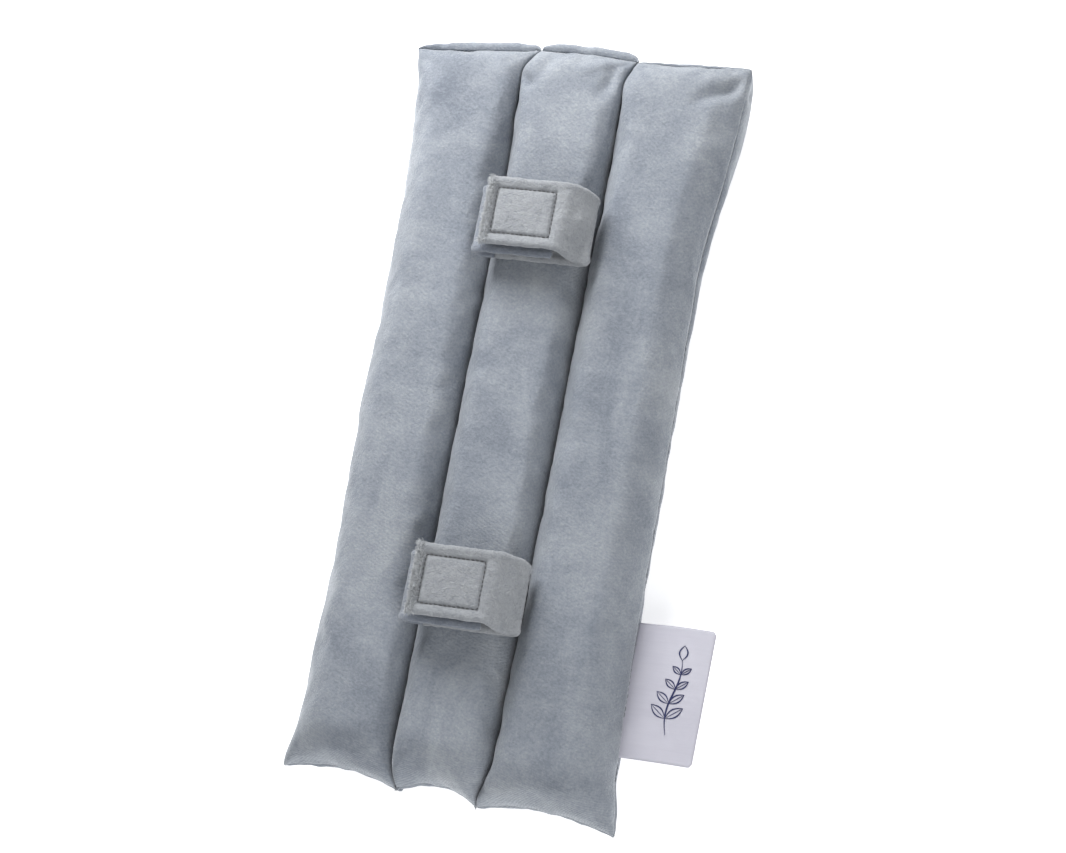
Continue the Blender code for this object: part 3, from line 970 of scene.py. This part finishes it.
def make_strap(where, seed):
    """One strap: two folded strips, their hook and loop patches, stitching and cut edge."""
    base_low, base_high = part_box(f"{where}_strap_base")
    outer_low, outer_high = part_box(f"{where}_outer_flap")
    inner_low, inner_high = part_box(f"{where}_inner_flap")
    body, inner_body = f"{where}_outer_flap", f"{where}_inner_flap"
    y0, y1 = base_low.y, base_high.y
    base_z = base_low.z + 1.0 * MM
    outer_z = (outer_low.z + outer_high.z) / 2 + 0.15 * MM
    inner_z = (inner_low.z + inner_high.z) / 2
    left, right = base_low.x + 1.0 * MM, base_high.x - 1.1 * MM
    near, far = y0 + 1.1 * MM, y1 - 1.3 * MM

    path = [(SPLIT_X + 1.2 * MM, base_z), (CREST_X + 2 * MM, base_z),
            (right - 4 * MM, base_z), (right - 0.6 * MM, base_z + 1.3 * MM),
            (right - 0.2 * MM, base_z + 4.2 * MM), (right - 3.0 * MM, base_z + 8.6 * MM),
            (CREST_X + 4.5 * MM, outer_z - 2.6 * MM), (CREST_X + 1 * MM, outer_z - 0.2 * MM),
            (CREST_X - 5 * MM, outer_z + 0.2 * MM), (-3 * MM, outer_z + 0.2 * MM),
            (outer_low.x + 1.2 * MM, outer_z - 0.1 * MM)]
    outer, long = ribbon(f"{where}_outer_strap", path, near, far, 2.6 * MM, STRAP_PLUSH)
    box = sewn_box(f"{where}_hook_box_stitch", f"{where}_hook_stitching",
                   outer_z + 0.62 * MM, body, seed, shift=0.7 * MM)
    skewed = 0.8 * MM
    rough_up(outer, seed, [(x, y - skewed) for x, y in box], outer_z)
    skew(outer, skewed)
    droop(outer, near, far, CREST_X - 2 * MM)
    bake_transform(outer)
    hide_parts(f"{where}_outer_flap", f"{where}_strap_base")

    path = [(SPLIT_X - 1.2 * MM, base_z), (left + 3.4 * MM, base_z),
            (left + 1.2 * MM, base_z + 0.5 * MM), (left - 0.3 * MM, base_z + 3.5 * MM),
            (left - 0.1 * MM, inner_z - 2.2 * MM), (left + 2.0 * MM, inner_z - 0.2 * MM),
            (left + 6 * MM, inner_z), (inner_high.x - 1.0 * MM, inner_z)]
    # The inner strip takes the darker, bluer strap pile: painted shade under the outer flap.
    inner, long = ribbon(f"{where}_inner_strap", path, near, far, 1.9 * MM, STRAP_PILE_PAINTED_SHADE)
    rough_up(inner, seed + 3)
    skew(inner, -1.3 * MM)
    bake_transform(inner)
    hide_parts(f"{where}_inner_flap")

    tape(f"{where}_hook_tape", f"{where}_hook_patch", -1, HOOK_TAPE, 0.8, body,
         seed)
    tape(f"{where}_loop_tape", f"{where}_loop_patch", 1, LOOP_TAPE, 1, inner_body,
         seed + 1)
    node = f"{where}_loop_stitching"
    sewn_box(f"{where}_loop_box_stitch", node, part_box(node)[0].z + 0.45 * MM, inner_body,
             seed + 1, outward=(0, 0, -1))
    node = f"{where}_base_stitching"
    sewn_box(f"{where}_base_box_stitch", node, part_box(node)[1].z - 0.4 * MM, "root", seed + 2)

    def place(draw):
        """A root on the rounded cut edge, or a little way onto the top behind it."""
        a = draw.uniform(-1.3, 1.9)
        y = draw.uniform(near + 0.9 * MM, far + 0.7 * MM)
        x = outer_low.x + 1.2 * MM - 1.3 * MM * math.cos(min(a, 1.2))
        x += max(0.0, a - 1.2) * 2.6 * MM
        z = outer_z + 1.05 * MM * math.sin(min(a, 1.5))
        return (x, y, z), (-math.cos(a), 0, math.sin(a))

    # The cut-edge fibres take the brightened strap pile: a painted highlight.
    hair = fuzz(f"{where}_cut_edge_fuzz", place, CUT_EDGE_HAIRS, 0.45, 1.3 * MM, 0.35, seed,
                CUT_PILE_PAINTED_HIGHLIGHT)
    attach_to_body(hair, body)


make_strap("upper", 11)
make_strap("lower", 31)


# ---------------------------------------------------------------- label
label_low, label_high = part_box("label")
LABEL_WIDTH, LABEL_LENGTH = label_high.x - label_low.x, label_high.y - label_low.y
LABEL_GRID = (34, 58)
STROKE_STEPS = 40
STEM_HALF = 17 * MM


def label_z(x, y):
    """Height of the label's middle: it bends a little away from the seam."""
    s = (x - label_low.x) / LABEL_WIDTH
    v = (y - label_low.y) / LABEL_LENGTH
    bend = 1.6 * math.sin(math.pi * s * 0.9) * (0.4 + 0.6 * v) - 1.5 * s * (1 - v)
    return SEAM_Z + (bend - 2.0 + 0.15 * noise.noise(Vector((x, y, 0)) / 0.009)) * MM


def label_lean(y):
    """How far the label shifts towards the pillow at this place along it."""
    return -1.5 * MM * (label_high.y - y) / LABEL_LENGTH - 1.0 * MM


def make_label():
    """The satin label, with its root in the side seam and two rounded outer corners."""
    root = label_low.x - 5.0 * MM
    nx, ny = LABEL_GRID
    radius = 1.6 * MM
    near_y = label_low.y - 1.4 * MM
    points = []
    for i in range(nx + 1):
        x = root + (label_high.x - root) * i / nx
        s = max(0.0, (x - (label_high.x - radius)) / radius)
        cut = radius * (1 - math.sqrt(max(0.0, 1 - s * s)))
        for j in range(ny + 1):
            y = near_y + cut + (label_high.y - near_y - 2 * cut) * j / ny
            points.append((x + label_lean(y), y, label_z(x, y)))
    index = np.arange(len(points)).reshape(nx + 1, ny + 1)
    thing = mesh_object("side_label", points, grid_faces(index, flip=True), SATIN)
    solid = thing.modifiers.new("thick", "SOLIDIFY")
    solid.thickness = 0.55 * MM
    solid.offset = 0
    apply_modifiers(thing)
    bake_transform(thing)
    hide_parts("label")


def print_stroke(points, wide):
    """A flat printed line just above the label, with pointed ends."""
    line = evenly(points, STROKE_STEPS)
    way = np.gradient(line, axis=0)
    way /= np.linalg.norm(way, axis=1, keepdims=True)
    side = np.column_stack([-way[:, 1], way[:, 0]])
    verts = []
    for k, (p, s) in enumerate(zip(line, side)):
        half = wide / 2 * (0.25 + 0.75 * math.sin(math.pi * k / STROKE_STEPS))
        for a, up in ((1, 0.42), (-1, 0.42), (-1, 0.24), (1, 0.24)):
            x, y = p + s * half * a
            verts.append((x + label_lean(y), y, label_z(x, y) + up * MM))
    last = 4 * STROKE_STEPS
    ends = [(3, 2, 1, 0), (last, last + 1, last + 2, last + 3)]
    return verts, ring_faces(STROKE_STEPS + 1, 4) + ends


def leaf_curve(base, out, long, bulge, start=0.0):
    """Points from base along out, bowed sideways by bulge of its length."""
    side = np.array((-out[1], out[0]))
    return [base + out * long * u + side * bulge * long * math.sin(math.pi * u)
            for u in np.linspace(start, 1, 20)]


def make_motif():
    """A plain leafy sprig: a bowed stem, pairs of leaves and a bud."""
    x0 = (label_low.x + label_high.x) / 2 + 1.0 * MM
    y0 = (label_low.y + label_high.y) / 2

    def stem(s):
        return np.array((x0 + 1.6 * MM * math.sin(3 * s), y0 + STEM_HALF * s))

    tilt = math.radians(38)
    top = 0.8
    parts = [print_stroke([stem(s) for s in np.linspace(-1, top, 30)], 0.75 * MM)]
    for k, s in enumerate((-0.62, -0.26, 0.10, 0.46)):
        long = (8.2 - 1.1 * k) * MM
        for way in (-1, 1):
            out = np.array((way * math.cos(tilt), math.sin(tilt)))
            for bulge, wide in ((0.20, 0.55), (-0.20, 0.55), (0.0, 0.32)):
                parts.append(print_stroke(leaf_curve(stem(s), out, long, bulge, 0.04),
                                          wide * MM))
    for bulge in (0.28, -0.28):
        bud = leaf_curve(stem(top), np.array((0.0, 1.0)), 6 * MM, bulge)
        parts.append(print_stroke(bud, 0.6 * MM))
    thing = mesh_object("label_sprig_print", *join(parts), INK, smooth=False)
    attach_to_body(thing, "label")


make_label()
make_motif()


# ---------------------------------------------------------------- seam threads
def seam_threads():
    for channel in ("left", "right"):
        ts = np.linspace(-0.93, 0.90, 60)
        line = [(float(seam_line(channel, t)), t * HALF_LENGTH, SEAM_Z) for t in ts]
        sewn = stitches(f"{channel}_channel_seam_thread", line, PALE_THREAD, 5)
        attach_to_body(sewn, "root")
        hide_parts(f"{channel}_channel_stitching")


def end_seam(made, end):
    """The stitching across one end, just inside the seam."""
    t = 1 if end == "far" else -1
    a, b = (side(np.float64(t)) for side in made["sides"])
    c = np.linspace(-0.80, 0.80, 30)
    x = (a + b) / 2 + (b - a) / 2 * c
    y = end_line(made, end, c) - t * 1.2 * MM
    z = FAR_SEAM_Z if t > 0 else NEAR_SEAM_Z
    return np.column_stack([x, y, np.full_like(x, z)])


def perimeter_threads():
    for channel, made in CHANNELS.items():
        for end, way, node in (("far", 1, "centre_top_stitching"),
                               ("near", -1, "centre_bottom_stitching")):
            name = f"{channel}_{end}_end_thread"
            sewn = stitches(name, end_seam(made, end), PALE_THREAD, 9, outward=(0, way, 0.3))
            attach(sewn, channel)
            if channel == "centre":
                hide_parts(node)
        if channel == "centre":
            continue
        way = -1 if channel == "left" else 1
        front = channel_points(made)[0]
        side = front[4:-4, 0 if channel == "left" else -1] - np.array((way * MM, 0, 0))
        sewn = stitches(f"{channel}_side_thread", side, PALE_THREAD, 8, outward=(way, 0, 0.3))
        attach(sewn, channel)
        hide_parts(f"{channel}_perimeter_stitching")


seam_threads()
perimeter_threads()


# ---------------------------------------------------------------- floor and light
def make_floor():
    """A wide pale floor that glows a little, so that it renders as plain white."""
    half = 10.0
    points = [(-half, -half, 0), (half, -half, 0), (half, half, 0), (-half, half, 0)]
    f = Finish("pale_floor", Roughness=0.9, Specular_IOR_Level=0.1)
    f.shader.inputs["Base Color"].default_value = (0.90, 0.90, 0.90, 1)
    f.shader.inputs["Emission Color"].default_value = (1.0, 1.0, 1.0, 1)
    f.shader.inputs["Emission Strength"].default_value = 0.55
    floor = mesh_object("floor", points, [(0, 1, 2, 3)], f.material, smooth=False)
    floor.location.z = -0.2 * MM


def area_light(name, place, size, power):
    """A round soft light at place, in metres, that faces the origin."""
    data = bpy.data.lights.new(name, "AREA")
    data.shape = "DISK"
    data.size = size
    data.energy = power
    light = bpy.data.objects.new(name, data)
    bpy.context.scene.collection.objects.link(light)
    light.location = place
    light.rotation_euler = Vector(place).to_track_quat("Z", "Y").to_euler()


def make_light():
    """An even pale sky, a key light beyond the far end and a fill from the near end."""
    world = bpy.data.worlds.new("studio")
    bpy.context.scene.world = world
    world.use_nodes = True
    sky = world.node_tree.nodes["Background"]
    sky.inputs["Color"].default_value = (0.97, 0.985, 1.0, 1)
    sky.inputs["Strength"].default_value = 0.38
    area_light("window", (-0.23, 0.42, 0.35), 0.46, 5.2)
    area_light("fill", (0.45, -0.7, 0.6), 0.8, 4.6)
    bpy.context.scene.view_settings.view_transform = "Standard"


make_floor()
make_light()
